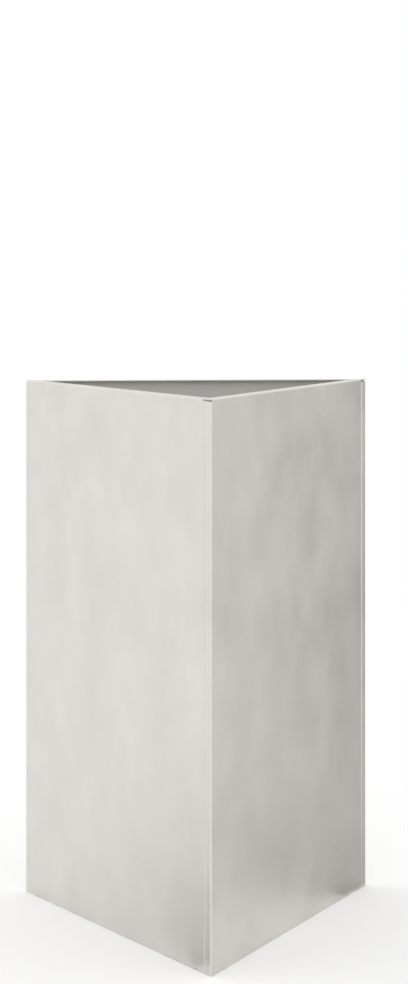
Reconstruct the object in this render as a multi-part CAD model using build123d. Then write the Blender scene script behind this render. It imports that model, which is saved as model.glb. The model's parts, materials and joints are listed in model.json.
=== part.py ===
from build123d import *
import math
import os

# Tall triangular planter of folded stainless sheet, in millimetres, +Z up.
# Plan: equilateral triangle, front corner towards -Y, rear side towards +Y.
# Origin: centre of the footprint's bounding box, on the floor.
# Three alike panels follow each other round the triangle. Each wraps round one corner with a narrow strip,
# and is bolted there, through two inward flanges, to the plain end of the next panel.

# Whole planter
outer_width = 500.0  # across the two rear corners, over their rounded folds
outer_height = 750.0

# Sheet and folds
sheet = 1.0
bend_radius = 2.0  # outside radius of every fold
bend_land = 0.5  # flat left on a folded strip where it runs into the plate beside it

# Side panel
corner_strip = 16.0  # from the sharp corner to the seam, on the neighbour's side
joint_flange = 16.0  # depth of the flanges that are bolted together
joint_gap = 0.1  # between the two bolted flanges
rim_flange = 15.0
rim_gap = 0.4  # between two panels' rim flanges
rim_relief = 3.0  # height by which strips and joint flanges stay below the rim
foot_flange = 15.0
foot_setback = 38.0  # from the sharp corner to the end of a foot flange
foot_relief = 3.0  # height of the notch beside a foot flange
foot_slot = 1.5  # width of the notch beside a foot flange

# Corner joint hardware
bolts_per_corner = 3
bolt_end_distance = 60.0  # from floor and rim to the outermost bolts
bolt_depth = 8.0  # from the outside face to the bolt's axis
bolt_hole_radius = 2.75
screw_radius = 2.5
screw_length = 10.0
screw_head_radius = 4.75
screw_head_height = 3.6
screw_head_rim = 2.8  # straight side of the head, below its dome
washer_radius = 5.0
washer_bore_radius = 2.65
washer_thickness = 1.0
nut_width = 8.0  # across flats
nut_height = 4.0
nut_bore_radius = 2.55

# Base tray, an upturned pan that stands on the foot flanges
tray_gap = 1.5  # between the tray's folded edges and the panels
tray_rise = 24.0  # height of the tray's folded edges
tray_corner_setback = 28.5  # from the panels' sharp corner to the end of a folded edge
drain_hole_radius = 5.0
drain_pitch = 110.0
drain_rows = 3

# Worked out from the sizes above
sin60 = math.sin(math.radians(60))
cos60 = math.cos(math.radians(60))
tan60 = math.tan(math.radians(60))
sharp_side = outer_width + 2 * (tan60 - 1) * bend_radius  # side of the triangle with sharp corners
side_distance = sharp_side / (2 * tan60)  # from the centroid to each side
half_side = sharp_side / 2
centroid = Pos(0, (side_distance - bend_radius) / 2, 0)
joint_x = corner_strip - half_side  # seam at the left end of the rear side
strip_top = outer_height - rim_relief
bolt_pitch = (outer_height - 2 * bolt_end_distance) / (bolts_per_corner - 1)
bolt_heights = [bolt_end_distance + i * bolt_pitch for i in range(bolts_per_corner)]

# Turns about the centroid, in degrees, that carry a piece of the rear side or left corner to the others
third_turn = 360 / 3
turns = {"rear": 0, "right": -third_turn, "left": third_turn}
corner_turns = {"left": 0, "right": -third_turn, "front": third_turn}


def folded_section(skin):
    # face of one sheet thickness, to the right of the path that its outer skin follows
    path = FilletPolyline(*skin, radius=bend_radius)
    return make_face(offset(path, amount=sheet, side=Side.RIGHT))


def along_x(section, start, end):
    # section drawn as (Y, Z), drawn out along X from start to end
    return extrude(Plane.YZ.offset(start) * section, amount=end - start)


def bolt_place(height):
    # bolt axis at the left corner: local +Z points from the corner along the rear side
    return Pos(joint_x, side_distance - bolt_depth, height) * Rot(0, 90, 0)


def bolt_holes():
    # each cut is centred between the two flanges and passes through both
    length = 2 * (sheet + joint_gap)
    return [bolt_place(z) * Cylinder(bolt_hole_radius, length) for z in bolt_heights]


def panel_walls():
    # joint flange, side wall, rounded corner, strip and second joint flange, as one section
    corner = Vector(half_side, side_distance)
    down_side = Vector(-cos60, -sin60)
    inwards = Vector(-sin60, cos60)
    plain_end = joint_x + joint_gap / 2
    strip_end = corner + down_side * (corner_strip - joint_gap / 2)
    skin = [
        (plain_end, side_distance - joint_flange),
        (plain_end, side_distance),
        (corner.X, corner.Y),
        (strip_end.X, strip_end.Y),
        ((strip_end + inwards * joint_flange).X, (strip_end + inwards * joint_flange).Y),
    ]
    return extrude(folded_section(skin), amount=strip_top)


def rim_start(depth):
    # left end of the rim flange, cut parallel to the left side, where the neighbour's flange ends
    return (rim_flange + rim_gap + depth * cos60) / sin60 - half_side


def rim_end(depth):
    # right end of the rim flange, flush with the right side
    return half_side - depth / tan60


def panel_rim():
    fold_depth = bend_radius + bend_land
    skin = [
        (side_distance - fold_depth, outer_height),
        (side_distance, outer_height),
        (side_distance, strip_top),
    ]
    fold = along_x(folded_section(skin), rim_start(fold_depth), half_side - bend_radius * tan60)
    flange = Polyline(
        (rim_start(bend_radius), side_distance - bend_radius),
        (rim_end(bend_radius), side_distance - bend_radius),
        (rim_end(rim_flange), side_distance - rim_flange),
        (rim_start(rim_flange), side_distance - rim_flange),
        close=True,
    )
    plate = Pos(0, 0, outer_height - sheet) * extrude(make_face(flange) & footprint(), amount=sheet)
    return fold + plate


def footprint():
    corners = [(-half_side, side_distance), (half_side, side_distance), (0, -2 * side_distance)]
    return make_face(FilletPolyline(*corners, radius=bend_radius, close=True))


def panel_foot():
    skin = [
        (side_distance, foot_relief),
        (side_distance, 0),
        (side_distance - foot_flange, 0),
    ]
    return along_x(folded_section(skin), foot_setback - half_side, half_side - foot_setback)


def foot_notch():
    # centred on the outside face and on the floor, so half of it cuts each way
    length = sharp_side - 2 * (foot_setback - foot_slot)
    return Pos(0, side_distance, 0) * Box(length, 2 * foot_flange, 2 * foot_relief)


def side_panel():
    # built as the rear one
    panel = panel_walls() + panel_rim()
    panel = panel - foot_notch() + panel_foot()
    for hole in bolt_holes():
        panel = panel - hole - Rot(0, 0, corner_turns["right"]) * hole
    return panel


def base_tray():
    skin_distance = side_distance - sheet - tray_gap
    top = sheet + tray_rise
    fold_depth = bend_radius + bend_land
    skin = [
        (skin_distance - fold_depth, top),
        (skin_distance, top),
        (skin_distance, sheet),
    ]
    half_edge = half_side - tray_corner_setback
    edge = along_x(folded_section(skin), -half_edge, half_edge)
    plate_distance = skin_distance - bend_radius
    ends = []
    for turn in turns.values():
        ends += [Vector(-half_edge, plate_distance).rotate(Axis.Z, turn)]
        ends += [Vector(half_edge, plate_distance).rotate(Axis.Z, turn)]
    plate = Pos(0, 0, top - sheet) * extrude(make_hull(Polyline(*ends, close=True).edges()), amount=sheet)
    tray = plate
    for turn in turns.values():
        tray = tray + Rot(0, 0, turn) * edge
    for hole in drain_holes(top):
        tray = tray - hole
    return tray


def drain_holes(top):
    # triangular pattern round the centroid, with as many rows as holes in the rear row
    row_pitch = drain_pitch * sin60
    rear_row = (drain_rows - 1) * row_pitch / 3
    holes = []
    for row in range(drain_rows):
        count = drain_rows - row
        for place in range(count):
            x = (place - (count - 1) / 2) * drain_pitch
            y = rear_row - row * row_pitch
            holes.append(Pos(x, y, top - sheet / 2) * Cylinder(drain_hole_radius, 2 * sheet))
    return holes


def screw():
    # pan head on +Z, shank below it
    half = make_face(
        Curve()
        + [
            Line((0, -screw_length), (screw_radius, -screw_length)),
            Line((screw_radius, -screw_length), (screw_radius, 0)),
            Line((screw_radius, 0), (screw_head_radius, 0)),
            Line((screw_head_radius, 0), (screw_head_radius, screw_head_rim)),
            TangentArc((0, screw_head_height), (screw_head_radius, screw_head_rim), tangent=(1, 0)),
            Line((0, screw_head_height), (0, -screw_length)),
        ]
    )
    return revolve(Plane.XZ * half, Axis.Z)


def washer():
    return extrude(Circle(washer_radius) - Circle(washer_bore_radius), amount=washer_thickness)


def nut():
    # plain hexagon, as a weld nut has
    hexagon = RegularPolygon(nut_width / 2, 6, major_radius=False)
    return extrude(hexagon - Circle(nut_bore_radius), amount=nut_height)


def corner_hardware():
    # screw head and washer on the open side of the joint, nut on the corner side
    flange_face = joint_gap / 2 + sheet
    head_seat = flange_face + washer_thickness
    pieces = {
        "screws": Pos(0, 0, head_seat) * screw(),
        "washers": Pos(0, 0, flange_face) * washer(),
        "nuts": Pos(0, 0, -flange_face - nut_height) * nut(),
    }
    return pieces


def write(shape, node):
    export_step(shape, f"parts/{node}.step")


os.makedirs("parts", exist_ok=True)

panel = side_panel()
for name, turn in turns.items():
    write(centroid * Rot(0, 0, turn) * panel, f"{name}_panel")

write(centroid * base_tray(), "base_tray")

for corner, turn in corner_turns.items():
    for kind, piece in corner_hardware().items():
        row = [centroid * Rot(0, 0, turn) * bolt_place(z) * piece for z in bolt_heights]
        write(Compound(children=row), f"{corner}_corner_{kind}")
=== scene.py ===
import json
import math
import bpy
from mathutils import Matrix, Vector


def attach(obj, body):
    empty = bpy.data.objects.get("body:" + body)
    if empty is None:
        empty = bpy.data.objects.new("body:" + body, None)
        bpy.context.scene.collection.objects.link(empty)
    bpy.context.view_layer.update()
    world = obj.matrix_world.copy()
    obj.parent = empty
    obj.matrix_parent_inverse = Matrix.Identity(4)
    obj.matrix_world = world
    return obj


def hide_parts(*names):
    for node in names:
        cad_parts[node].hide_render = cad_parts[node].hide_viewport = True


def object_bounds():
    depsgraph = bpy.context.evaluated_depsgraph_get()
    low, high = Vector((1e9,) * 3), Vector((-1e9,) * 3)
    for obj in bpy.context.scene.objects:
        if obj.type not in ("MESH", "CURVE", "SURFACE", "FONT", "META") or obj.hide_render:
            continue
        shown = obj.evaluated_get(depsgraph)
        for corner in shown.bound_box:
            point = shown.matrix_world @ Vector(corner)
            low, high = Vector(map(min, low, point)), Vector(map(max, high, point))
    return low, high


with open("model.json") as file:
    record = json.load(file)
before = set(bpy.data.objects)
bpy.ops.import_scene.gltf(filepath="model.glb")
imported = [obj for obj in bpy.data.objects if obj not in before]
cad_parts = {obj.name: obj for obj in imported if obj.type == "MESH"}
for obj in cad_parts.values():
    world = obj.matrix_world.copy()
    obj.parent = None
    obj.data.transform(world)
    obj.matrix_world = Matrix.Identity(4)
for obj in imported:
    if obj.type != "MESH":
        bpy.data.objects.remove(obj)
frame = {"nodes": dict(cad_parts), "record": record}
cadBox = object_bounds()

# Looks of the tall triangular steel planter, in metres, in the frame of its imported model.


# Stage
stageLook = {
    "floorSize": 60.0,
    "floorColour": (0.95, 0.95, 0.95, 1.0),
    "floorOwnWhite": 0.05,  # what brings the open floor up to white beside the light that falls on it
    "worldColour": (1.0, 1.0, 1.0, 1.0),
    "worldLevel": 1.0,  # as matt surfaces see it
    "worldSeen": 1.0,  # as the camera, metal and glass see it
}


def seenDirectly(tree):
    # 1 where a ray comes from the camera, a reflection or glass
    path = tree.nodes.new("ShaderNodeLightPath")
    first = tree.nodes.new("ShaderNodeMath")
    first.operation = "MAXIMUM"
    second = tree.nodes.new("ShaderNodeMath")
    second.operation = "MAXIMUM"
    tree.links.new(path.outputs["Is Camera Ray"], first.inputs[0])
    tree.links.new(path.outputs["Is Glossy Ray"], first.inputs[1])
    tree.links.new(first.outputs[0], second.inputs[0])
    tree.links.new(path.outputs["Is Transmission Ray"], second.inputs[1])
    return second.outputs[0]


def makeFloor():
    bpy.ops.mesh.primitive_plane_add(size=stageLook["floorSize"], location=(0, 0, 0))
    floor = bpy.context.object
    floor.name = "floor"
    material = bpy.data.materials.new("paleFloor")
    material.use_nodes = True
    tree = material.node_tree
    tree.nodes.clear()
    output = tree.nodes.new("ShaderNodeOutputMaterial")
    matt = tree.nodes.new("ShaderNodeBsdfDiffuse")
    matt.inputs["Color"].default_value = stageLook["floorColour"]
    glow = tree.nodes.new("ShaderNodeEmission")
    level = tree.nodes.new("ShaderNodeMath")
    level.operation = "MULTIPLY"
    level.inputs[1].default_value = stageLook["floorOwnWhite"]
    tree.links.new(seenDirectly(tree), level.inputs[0])
    tree.links.new(level.outputs[0], glow.inputs["Strength"])
    both = tree.nodes.new("ShaderNodeAddShader")
    tree.links.new(matt.outputs[0], both.inputs[0])
    tree.links.new(glow.outputs[0], both.inputs[1])
    tree.links.new(both.outputs[0], output.inputs["Surface"])
    floor.data.materials.append(material)


def makeWorld():
    world = bpy.data.worlds.new("studio")
    bpy.context.scene.world = world
    world.use_nodes = True
    tree = world.node_tree
    tree.nodes.clear()
    output = tree.nodes.new("ShaderNodeOutputWorld")
    light = tree.nodes.new("ShaderNodeBackground")
    light.inputs["Color"].default_value = stageLook["worldColour"]
    light.inputs["Strength"].default_value = stageLook["worldLevel"]
    seen = tree.nodes.new("ShaderNodeBackground")
    seen.inputs["Color"].default_value = stageLook["worldColour"]
    seen.inputs["Strength"].default_value = stageLook["worldSeen"]
    choice = tree.nodes.new("ShaderNodeMixShader")
    tree.links.new(seenDirectly(tree), choice.inputs[0])
    tree.links.new(light.outputs[0], choice.inputs[1])
    tree.links.new(seen.outputs[0], choice.inputs[2])
    tree.links.new(choice.outputs[0], output.inputs["Surface"])


# Lamps, aimed at the planter
lampLook = {
    "aim": (0.0, 0.0, 0.45),
    "key": {"place": (-3.0, 0.9, 2.4), "size": 2.2, "watts": 6.0},
    "front": {"place": (-1.2, -3.0, 2.4), "size": 2.0, "watts": 3.0},
}


def makeLamp(name):
    look = lampLook[name]
    data = bpy.data.lights.new(name, "AREA")
    data.shape = "SQUARE"
    data.size = look["size"]
    data.energy = look["watts"]
    lamp = bpy.data.objects.new(name, data)
    bpy.context.scene.collection.objects.link(lamp)
    lamp.location = look["place"]
    towards = Vector(lampLook["aim"]) - lamp.location
    lamp.rotation_euler = towards.to_track_quat("-Z", "Y").to_euler()


# Grey cards round the planter, seen only in its steel. The two standing cards are flags as set in a studio;
# the two on the floor are painted shadow, standing in for the planter's shadow where its steel reflects the
# floor
cardLook = {
    "right": {
        "place": (1.55, 1.5, 0.5),
        "turn": (90.0, 0.0, 90.0),  # degrees
        "size": (1.6, 1.0),
        "grey": 0.43,
    },
    "lowRight": {
        "place": (0.75, 0.64, 0.20),
        "turn": (90.0, 0.0, 90.0),
        "size": (0.6, 0.40),
        "grey": 0.42,
    },
    # painted shadow: a card on the floor standing in for the planter's shadow, seen only where the steel
    # reflects the floor
    "paintedShadowRight": {
        "place": (0.50, 0.20, 0.004),
        "turn": (0.0, 0.0, -60.0),
        "size": (0.75, 0.55),
        "grey": 0.55,
    },
    # painted shadow: a card on the floor standing in for the planter's shadow, seen only where the steel
    # reflects the floor
    "paintedShadowLeft": {
        "place": (-0.30, -0.16, 0.004),
        "turn": (0.0, 0.0, 60.0),
        "size": (0.24, 0.5),
        "grey": 0.58,
    },
}


def makeCard(name):
    look = cardLook[name]
    bpy.ops.mesh.primitive_plane_add(size=1.0, location=look["place"])
    card = bpy.context.object
    card.name = name + "Card"
    card.scale = (look["size"][0], look["size"][1], 1.0)
    card.rotation_euler = [math.radians(angle) for angle in look["turn"]]
    card.visible_camera = False
    card.visible_shadow = False
    card.visible_diffuse = False
    material = bpy.data.materials.new(name + "Grey")
    material.use_nodes = True
    paint = material.node_tree.nodes["Principled BSDF"]
    paint.inputs["Base Color"].default_value = (look["grey"], look["grey"], look["grey"], 1.0)
    paint.inputs["Roughness"].default_value = 1.0  # fully matt
    card.data.materials.append(material)


# Camera, solved from the photo's straight edges
cameraLook = {
    "place": (-0.1579, -3.4003, 0.9646),
    "turn": (90.0, 0.0, -3.87),  # degrees, level and without roll
    "lens": 89.78,
    "sensor": 36.0,
    "shift": (-0.0520, -0.2621),
}


def makeCamera():
    data = bpy.data.cameras.new("photoCamera")
    data.lens = cameraLook["lens"]
    data.sensor_width = cameraLook["sensor"]
    data.shift_x = cameraLook["shift"][0]
    data.shift_y = cameraLook["shift"][1]
    data.dof.use_dof = False
    camera = bpy.data.objects.new("photoCamera", data)
    bpy.context.scene.collection.objects.link(camera)
    camera.location = cameraLook["place"]
    camera.rotation_euler = [math.radians(angle) for angle in cameraLook["turn"]]
    bpy.context.scene.camera = camera


# Plan of the planter, an equilateral triangle with rounded corners
planLook = {
    "bendRadius": 0.002,  # outside radius of the folds
}


def measurePlan():
    # side of the triangle with sharp corners, distance from its middle to a side, and the middle's Y
    width = cadBox[1].x - cadBox[0].x
    sharpSide = width + 2 * (math.sqrt(3) - 1) * planLook["bendRadius"]
    sideDistance = sharpSide / (2 * math.sqrt(3))
    middleY = (sideDistance - planLook["bendRadius"]) / 2
    return sharpSide, sideDistance, middleY


# Patterns that the steels share, each a group that puts out one mask or value
patternLook = {
    "cloudDetail": 4.0,
    "cloudRoughness": 0.55,
    "cloudLow": 0.3,  # noise at which a patch is fully dark
    "cloudHigh": 0.7,  # noise at which it is fully pale
    "grainDetail": 2.0,
    "wearSamples": 4,
    "wearStart": 0.999,  # match of the rounded normal and the face's own, at which wear starts
    "wearFull": 0.9,  # match at which it is full
    "insideLimit": -0.01,  # metres, level distance from the middle times how far a face looks outwards
}


def newGroup(name, inputs, output):
    group = bpy.data.node_groups.new(name, "ShaderNodeTree")
    for label in inputs:
        group.interface.new_socket(label, in_out="INPUT", socket_type="NodeSocketFloat")
    group.interface.new_socket(output, in_out="OUTPUT", socket_type="NodeSocketFloat")
    inside = group.nodes.new("NodeGroupInput")
    outside = group.nodes.new("NodeGroupOutput")
    return group, inside, outside


def addStretchedNoise(group, inside, upright, detail):
    # the input named by upright scales Z, so that a small value draws the pattern out along Z
    place = group.nodes.new("ShaderNodeTexCoord")
    shape = group.nodes.new("ShaderNodeCombineXYZ")
    shape.inputs["X"].default_value = 1.0
    shape.inputs["Y"].default_value = 1.0
    group.links.new(inside.outputs[upright], shape.inputs["Z"])
    mapping = group.nodes.new("ShaderNodeMapping")
    group.links.new(place.outputs["Object"], mapping.inputs["Vector"])
    group.links.new(shape.outputs["Vector"], mapping.inputs["Scale"])
    noise = group.nodes.new("ShaderNodeTexNoise")
    noise.inputs["Detail"].default_value = detail
    group.links.new(mapping.outputs["Vector"], noise.inputs["Vector"])
    group.links.new(inside.outputs["Scale"], noise.inputs["Scale"])
    return noise


def makeCloudGroup():
    # soft patches from rolling and handling, 0 to 1
    group, inside, outside = newGroup("rolledClouds", ["Scale", "Stretch"], "Clouds")
    noise = addStretchedNoise(group, inside, "Stretch", patternLook["cloudDetail"])
    noise.inputs["Roughness"].default_value = patternLook["cloudRoughness"]
    full = group.nodes.new("ShaderNodeMapRange")  # so that the patches use their whole range
    full.inputs["From Min"].default_value = patternLook["cloudLow"]
    full.inputs["From Max"].default_value = patternLook["cloudHigh"]
    group.links.new(noise.outputs["Fac"], full.inputs["Value"])
    group.links.new(full.outputs["Result"], outside.inputs["Clouds"])
    return group


def makeGrainGroup():
    # hair lines along Z, 0 to 1
    group, inside, outside = newGroup("satinGrain", ["Scale", "Length"], "Grain")
    noise = addStretchedNoise(group, inside, "Length", patternLook["grainDetail"])
    group.links.new(noise.outputs["Fac"], outside.inputs["Grain"])
    return group


def makeWearGroup():
    # rubbed folds and cut edges, from the change of the normal over a small radius
    group, inside, outside = newGroup("rubbedEdges", ["Radius"], "Wear")
    bevel = group.nodes.new("ShaderNodeBevel")
    bevel.samples = patternLook["wearSamples"]
    group.links.new(inside.outputs["Radius"], bevel.inputs["Radius"])
    geometry = group.nodes.new("ShaderNodeNewGeometry")
    match = group.nodes.new("ShaderNodeVectorMath")
    match.operation = "DOT_PRODUCT"
    group.links.new(bevel.outputs["Normal"], match.inputs[0])
    group.links.new(geometry.outputs["Normal"], match.inputs[1])
    spread = group.nodes.new("ShaderNodeMapRange")
    spread.inputs["From Min"].default_value = patternLook["wearStart"]
    spread.inputs["From Max"].default_value = patternLook["wearFull"]
    group.links.new(match.outputs["Value"], spread.inputs["Value"])
    group.links.new(spread.outputs["Result"], outside.inputs["Wear"])
    return group


def makeInsideGroup():
    # 1 on faces that look towards the middle of the planter, else 0
    group, inside, outside = newGroup("innerFaces", [], "Inside")
    place = group.nodes.new("ShaderNodeTexCoord")
    away = group.nodes.new("ShaderNodeVectorMath")
    away.operation = "SUBTRACT"
    away.inputs[1].default_value = (0.0, measurePlan()[2], 0.0)
    group.links.new(place.outputs["Object"], away.inputs[0])
    level = group.nodes.new("ShaderNodeVectorMath")
    level.operation = "MULTIPLY"
    level.inputs[1].default_value = (1.0, 1.0, 0.0)
    group.links.new(away.outputs["Vector"], level.inputs[0])
    match = group.nodes.new("ShaderNodeVectorMath")
    match.operation = "DOT_PRODUCT"
    group.links.new(level.outputs["Vector"], match.inputs[0])
    group.links.new(place.outputs["Normal"], match.inputs[1])
    below = group.nodes.new("ShaderNodeMath")
    below.operation = "LESS_THAN"
    below.inputs[1].default_value = patternLook["insideLimit"]
    group.links.new(match.outputs["Value"], below.inputs[0])
    group.links.new(below.outputs[0], outside.inputs["Inside"])
    return group


def blendColours(tree, mask, dark, pale):
    mix = tree.nodes.new("ShaderNodeMix")
    mix.data_type = "RGBA"
    mix.inputs["A"].default_value = dark
    mix.inputs["B"].default_value = pale
    tree.links.new(mask, mix.inputs["Factor"])
    return mix.outputs["Result"]


def spreadValue(tree, mask, low, high):
    spread = tree.nodes.new("ShaderNodeMapRange")
    spread.inputs["To Min"].default_value = low
    spread.inputs["To Max"].default_value = high
    tree.links.new(mask, spread.inputs["Value"])
    return spread.outputs["Result"]


def addUp(tree, first, second):
    total = tree.nodes.new("ShaderNodeMath")
    total.operation = "ADD"
    tree.links.new(first, total.inputs[0])
    tree.links.new(second, total.inputs[1])
    return total.outputs[0]


groups = {
    "clouds": makeCloudGroup(),
    "grain": makeGrainGroup(),
    "wear": makeWearGroup(),
    "inside": makeInsideGroup(),
}


def placeGroup(tree, name, values):
    node = tree.nodes.new("ShaderNodeGroup")
    node.node_tree = groups[name]
    for label, value in values.items():
        node.inputs[label].default_value = value
    return node.outputs[0]


# Steels: dark and pale are the colours, smooth and rough the roughness, at either end of the clouds
panelLook = {
    "dark": (0.686, 0.664, 0.628, 1.0),
    "pale": (0.754, 0.730, 0.692, 1.0),
    "smooth": 0.42,
    "rough": 0.50,
    "rubbed": 0.10,  # how much smoother the folds are
    "cloudScale": 13.0,
    "cloudStretch": 0.85,
    "grainScale": 900.0,
    "grainLength": 0.02,
    "grainDepth": 0.00001,
    "wearRadius": 0.002,
}
trayLook = dict(
    panelLook,
    dark=(0.66, 0.65, 0.63, 1.0),
    pale=(0.72, 0.71, 0.69, 1.0),
    rough=0.55,
)
screwLook = dict(
    panelLook,
    dark=(0.62, 0.62, 0.63, 1.0),
    pale=(0.70, 0.70, 0.71, 1.0),
    smooth=0.22,
    rough=0.34,
    cloudScale=120.0,
    cloudStretch=1.0,
    wearRadius=0.0004,
)
washerLook = dict(
    screwLook,
    dark=(0.66, 0.66, 0.67, 1.0),
    pale=(0.72, 0.72, 0.73, 1.0),
    smooth=0.34,
    rough=0.46,
)
nutLook = dict(
    screwLook,
    dark=(0.58, 0.58, 0.59, 1.0),
    pale=(0.66, 0.66, 0.67, 1.0),
)


def makeSteel(name, look):
    material = bpy.data.materials.new(name)
    material.use_nodes = True
    tree = material.node_tree
    steel = tree.nodes["Principled BSDF"]
    steel.inputs["Metallic"].default_value = 1.0
    cloudValues = {"Scale": look["cloudScale"], "Stretch": look["cloudStretch"]}
    clouds = placeGroup(tree, "clouds", cloudValues)
    grainValues = {"Scale": look["grainScale"], "Length": look["grainLength"]}
    grain = placeGroup(tree, "grain", grainValues)
    wear = placeGroup(tree, "wear", {"Radius": look["wearRadius"]})
    tree.links.new(blendColours(tree, clouds, look["dark"], look["pale"]), steel.inputs["Base Color"])
    rough = spreadValue(tree, clouds, look["smooth"], look["rough"])
    rubbed = spreadValue(tree, wear, 0.0, -look["rubbed"])
    tree.links.new(addUp(tree, rough, rubbed), steel.inputs["Roughness"])
    bump = tree.nodes.new("ShaderNodeBump")
    bump.inputs["Distance"].default_value = look["grainDepth"]
    tree.links.new(grain, bump.inputs["Height"])
    tree.links.new(bump.outputs["Normal"], steel.inputs["Normal"])
    return material


# Inner side of the sheet: a duller mill finish, and a paler colour that is partly the mill finish and partly
# painted light, brightening inner walls that lie in shade under the rim
millFinishAndPaintedLightLook = {
    "dark": (0.79, 0.775, 0.745, 1.0),
    "pale": (0.82, 0.805, 0.775, 1.0),
    "smooth": 0.55,
    "rough": 0.62,
    "cloudStretch": 1.0,
}


def coverInput(tree, socket, mask, cover, kind):
    # where the mask is 1, the cover takes the place of what feeds the input
    mix = tree.nodes.new("ShaderNodeMix")
    mix.data_type = kind
    tree.links.new(mask, mix.inputs["Factor"])
    tree.links.new(socket.links[0].from_socket, mix.inputs["A"])
    tree.links.new(cover, mix.inputs["B"])
    tree.links.new(mix.outputs["Result"], socket)


def addMillSideAndPaintedLight(material):
    tree = material.node_tree
    steel = tree.nodes["Principled BSDF"]
    inner = placeGroup(tree, "inside", {})
    cloudValues = {"Scale": panelLook["cloudScale"], "Stretch": millFinishAndPaintedLightLook["cloudStretch"]}
    clouds = placeGroup(tree, "clouds", cloudValues)
    colour = blendColours(tree, clouds, millFinishAndPaintedLightLook["dark"], millFinishAndPaintedLightLook["pale"])
    # painted light: the paler colour on the inner faces brightens the walls shaded under the rim
    coverInput(tree, steel.inputs["Base Color"], inner, colour, "RGBA")
    rough = spreadValue(tree, clouds, millFinishAndPaintedLightLook["smooth"], millFinishAndPaintedLightLook["rough"])
    coverInput(tree, steel.inputs["Roughness"], inner, rough, "FLOAT")
    return material


def makeSteels():
    return {
        "panel_sheet": addMillSideAndPaintedLight(makeSteel("satinPanelSteel", panelLook)),
        "tray_sheet": makeSteel("satinTraySteel", trayLook),
        "screw_steel": makeSteel("brightScrewSteel", screwLook),
        "washer_steel": makeSteel("stampedWasherSteel", washerLook),
        "nut_steel": makeSteel("turnedNutSteel", nutLook),
    }


def dressNodes(steels):
    for part in frame["record"]["subparts"]:
        node = frame["nodes"][part["node"]]
        for place in node.material_slots:
            place.material = steels[part["material_slot"]]


# Fasteners at the corners, each modelled on +Z at the origin and carried to its bolt axis
finishLook = {
    "edgeSegments": 2,
    "sharpAngle": 50.0,  # degrees, from which an edge is rounded
    "smoothAngle": 35.0,  # degrees, up to which the shading runs on across an edge
    "upward": 0.9,  # least Z of the normal of a face that looks up
    "hexagon": 6,  # sides
}
jointLook = {
    "cornerStrip": 0.016,  # from the sharp corner to the seam
    "boltDepth": 0.008,  # from the outside face to the bolt's axis
    "boltEnd": 0.060,  # from floor and rim to the outermost bolts
    "boltsPerCorner": 3,
    "turns": {"left": 0.0, "right": -120.0, "front": 120.0},  # degrees about the middle of the triangle
}
screwModel = {
    "seat": 0.00205,  # of the head, along the bolt axis from the joint plane
    "headRadius": 0.00475,
    "headHeight": 0.0036,
    "headRim": 0.0028,  # height of its straight side
    "headSides": 40,
    "domeSteps": 5,
    "length": 0.010,
    "shankRadius": 0.00215,  # at the thread's root
    "shankSides": 24,
    "shankOverlap": 0.0005,  # how far the shank reaches into the head
    "threadRadius": 0.0023,  # at its crest
    "threadPitch": 0.0008,
    "threadRunOut": 0.001,  # least length of shank beyond the thread's whole turns
    "threadSteps": 18,  # to a turn
    "socketWidth": 0.003,
    "socketDepth": 0.0019,
    "edge": 0.00025,
}
washerModel = {
    "seat": 0.00105,
    "radius": 0.005,
    "boreRadius": 0.00265,
    "thickness": 0.001,
    "sides": 48,
    "edge": 0.00018,
}
nutModel = {
    "seat": -0.00505,
    "acrossFlats": 0.008,
    "boreRadius": 0.00255,
    "height": 0.004,
    "boreSides": 40,
    "chamfer": 0.0005,  # of the corners, as a turned blank would leave them
    "chamferSides": 64,
    "chamferSegments": 1,
    "edge": 0.00012,
}


def deselectAll():
    for item in list(bpy.context.selected_objects):
        item.select_set(False)


def pickOnly(item):
    deselectAll()
    item.select_set(True)
    bpy.context.view_layer.objects.active = item


def applyModifier(item, kind, **values):
    pickOnly(item)
    modifier = item.modifiers.new(kind.lower(), kind)
    for label, value in values.items():
        setattr(modifier, label, value)
    bpy.ops.object.modifier_apply(modifier=modifier.name)


def cutWith(item, tool, operation):
    # takes the tool's shape away from the item, or keeps what they share, and removes the tool
    applyModifier(item, "BOOLEAN", operation=operation, solver="EXACT", object=tool)
    bpy.data.objects.remove(tool, do_unlink=True)


def bevelSharp(item, width, segments):
    applyModifier(
        item,
        "BEVEL",
        width=width,
        segments=segments,
        limit_method="ANGLE",
        angle_limit=math.radians(finishLook["sharpAngle"]),
    )


def roundEdges(item, width):
    bevelSharp(item, width, finishLook["edgeSegments"])
    pickOnly(item)
    bpy.ops.object.shade_smooth_by_angle(angle=math.radians(finishLook["smoothAngle"]))


def addRod(name, radius, low, high, sides):
    # upright on the origin's axis, with its first corner on +X
    deselectAll()
    bpy.ops.mesh.primitive_cylinder_add(
        vertices=sides,
        radius=radius,
        depth=high - low,
        location=(0.0, 0.0, (low + high) / 2),
        rotation=(0.0, 0.0, -math.radians(90)),
    )
    rod = bpy.context.object
    rod.name = name
    bpy.ops.object.transform_apply(location=True, rotation=True, scale=True)
    return rod


def selectTopFace(item):
    # in edit mode, nothing but the highest face that looks up
    bpy.ops.mesh.select_all(action="DESELECT")
    bpy.ops.object.mode_set(mode="OBJECT")
    upper = [face for face in item.data.polygons if face.normal.z > finishLook["upward"]]
    highest = max(upper, key=lambda face: face.center.z)
    highest.select = True
    bpy.ops.object.mode_set(mode="EDIT")


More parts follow.
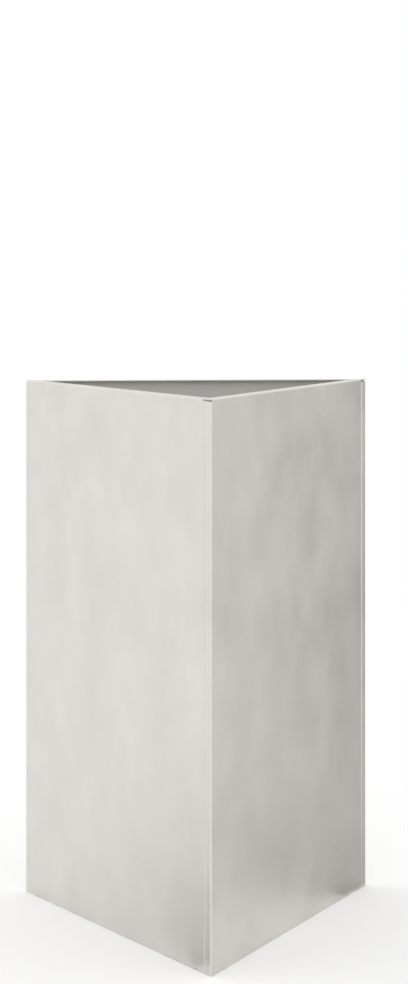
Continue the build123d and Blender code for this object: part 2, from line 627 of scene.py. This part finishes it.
def modelScrewHead():
    # the dome rises in rings, each set in from the last, and the socket is cut into it
    look = screwModel
    radius = look["headRadius"]
    head = addRod("screwHead", radius, 0.0, look["headRim"], look["headSides"])
    rise = look["headHeight"] - look["headRim"]
    ball = (radius ** 2 + rise ** 2) / (2 * rise)  # radius of the dome
    ringCount = look["domeSteps"] + 1
    rings = [radius * (1 - step / ringCount) for step in range(ringCount)]
    heights = [look["headHeight"] - ball + math.sqrt(ball ** 2 - ring ** 2) for ring in rings]
    pickOnly(head)
    bpy.ops.object.mode_set(mode="EDIT")
    bpy.ops.mesh.select_mode(type="FACE")
    selectTopFace(head)
    for step in range(look["domeSteps"]):
        inwards = rings[step] - rings[step + 1]
        upwards = heights[step + 1] - heights[step]
        bpy.ops.mesh.inset(thickness=inwards, depth=upwards)
    bpy.ops.object.mode_set(mode="OBJECT")
    socketRadius = look["socketWidth"] / math.sqrt(3)
    socketFloor = look["headHeight"] - look["socketDepth"]
    socket = addRod("socket", socketRadius, socketFloor, 2 * look["headHeight"], finishLook["hexagon"])
    cutWith(head, socket, "DIFFERENCE")
    roundEdges(head, look["edge"])
    return head


def modelScrewShank():
    look = screwModel
    top = look["shankOverlap"]
    shank = addRod("screwShank", look["shankRadius"], -look["length"], top, look["shankSides"])
    roundEdges(shank, look["edge"])
    return shank


def modelThread():
    # one ridge of triangular section with a corner outwards, carried round and down the shank
    look = screwModel
    sectionRadius = look["threadPitch"] / 2
    deselectAll()
    bpy.ops.mesh.primitive_circle_add(
        vertices=3,
        radius=sectionRadius,
        location=(look["threadRadius"] - sectionRadius, 0.0, -look["threadPitch"]),
        rotation=(-math.radians(90), -math.radians(90), 0.0),
    )
    thread = bpy.context.object
    thread.name = "screwThread"
    bpy.ops.object.transform_apply(location=True, rotation=True, scale=True)
    applyModifier(
        thread,
        "SCREW",
        axis="Z",
        screw_offset=-look["threadPitch"],
        iterations=int((look["length"] - look["threadRunOut"]) / look["threadPitch"]),
        steps=look["threadSteps"],
        render_steps=look["threadSteps"],
        use_merge_vertices=False,
    )
    pickOnly(thread)
    bpy.ops.object.mode_set(mode="EDIT")
    bpy.ops.mesh.select_all(action="SELECT")
    bpy.ops.mesh.fill_holes(sides=3)  # the ridge's two ends
    bpy.ops.mesh.select_all(action="SELECT")
    bpy.ops.mesh.normals_make_consistent(inside=False)
    bpy.ops.object.mode_set(mode="OBJECT")
    return thread


def joinAll(items, name):
    deselectAll()
    for item in items:
        item.select_set(True)
    bpy.context.view_layer.objects.active = items[0]
    bpy.ops.object.join()
    items[0].name = name
    items[0].data.name = name
    return items[0]


def modelScrew():
    return joinAll([modelScrewHead(), modelScrewShank(), modelThread()], "screwPattern")


def modelWasher():
    look = washerModel
    washer = addRod("washerPattern", look["radius"], 0.0, look["thickness"], look["sides"])
    bore = addRod("washerBore", look["boreRadius"], -look["thickness"], 2 * look["thickness"], look["sides"])
    cutWith(washer, bore, "DIFFERENCE")
    roundEdges(washer, look["edge"])
    return washer


def modelNut():
    # what a hexagon and a turned blank with chamfered rims have in common, with the bore cut out
    look = nutModel
    cornerRadius = look["acrossFlats"] / math.sqrt(3)
    nut = addRod("nutPattern", cornerRadius, 0.0, look["height"], finishLook["hexagon"])
    blank = addRod("nutBlank", cornerRadius, 0.0, look["height"], look["chamferSides"])
    bevelSharp(blank, look["chamfer"], look["chamferSegments"])
    cutWith(nut, blank, "INTERSECT")
    bore = addRod("nutBore", look["boreRadius"], -look["height"], 2 * look["height"], look["boreSides"])
    cutWith(nut, bore, "DIFFERENCE")
    roundEdges(nut, look["edge"])
    return nut


def boltFrame(corner, height, seat):
    # carries a piece from +Z at the origin to a bolt's axis, with its foot at the seat
    sharpSide, sideDistance, middleY = measurePlan()
    middle = Matrix.Translation((0.0, middleY, 0.0))
    turn = Matrix.Rotation(math.radians(jointLook["turns"][corner]), 4, "Z")
    place = (jointLook["cornerStrip"] - sharpSide / 2, sideDistance - jointLook["boltDepth"], height)
    lay = Matrix.Rotation(math.radians(90), 4, "Y")  # from upright to along the side
    return middle @ turn @ Matrix.Translation(place) @ lay @ Matrix.Translation((0.0, 0.0, seat))


def fitFasteners(pattern, look, kind, steel):
    # copies of the pattern at every bolt, one piece for each corner
    count = jointLook["boltsPerCorner"]
    lowest = jointLook["boltEnd"]
    pitch = (cadBox[1].z - cadBox[0].z - 2 * lowest) / (count - 1)
    for corner in jointLook["turns"]:
        copies = []
        for number in range(count):
            copy = bpy.data.objects.new(f"{corner}_{kind}_{number}", pattern.data.copy())
            bpy.context.scene.collection.objects.link(copy)
            copy.data.transform(boltFrame(corner, lowest + number * pitch, look["seat"]))
            copies.append(copy)
        row = joinAll(copies, f"{corner}Corner{kind.capitalize()}")
        row.data.materials.clear()
        row.data.materials.append(steel)
        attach(row, "root")
        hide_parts(f"{corner}_corner_{kind}")
    bpy.data.objects.remove(pattern, do_unlink=True)


makeFloor()
makeWorld()
for lampName in ("key", "front"):
    makeLamp(lampName)
for cardName in cardLook:
    makeCard(cardName)
makeCamera()
print("floor, lamps, cards and camera are in place")

steels = makeSteels()
dressNodes(steels)
print("sheet and fasteners have their steel")

fitFasteners(modelScrew(), screwModel, "screws", steels["screw_steel"])
fitFasteners(modelWasher(), washerModel, "washers", steels["washer_steel"])
fitFasteners(modelNut(), nutModel, "nuts", steels["nut_steel"])
print("screws, washers and nuts are in their joints")

bpy.context.scene.view_settings.view_transform = "Standard"
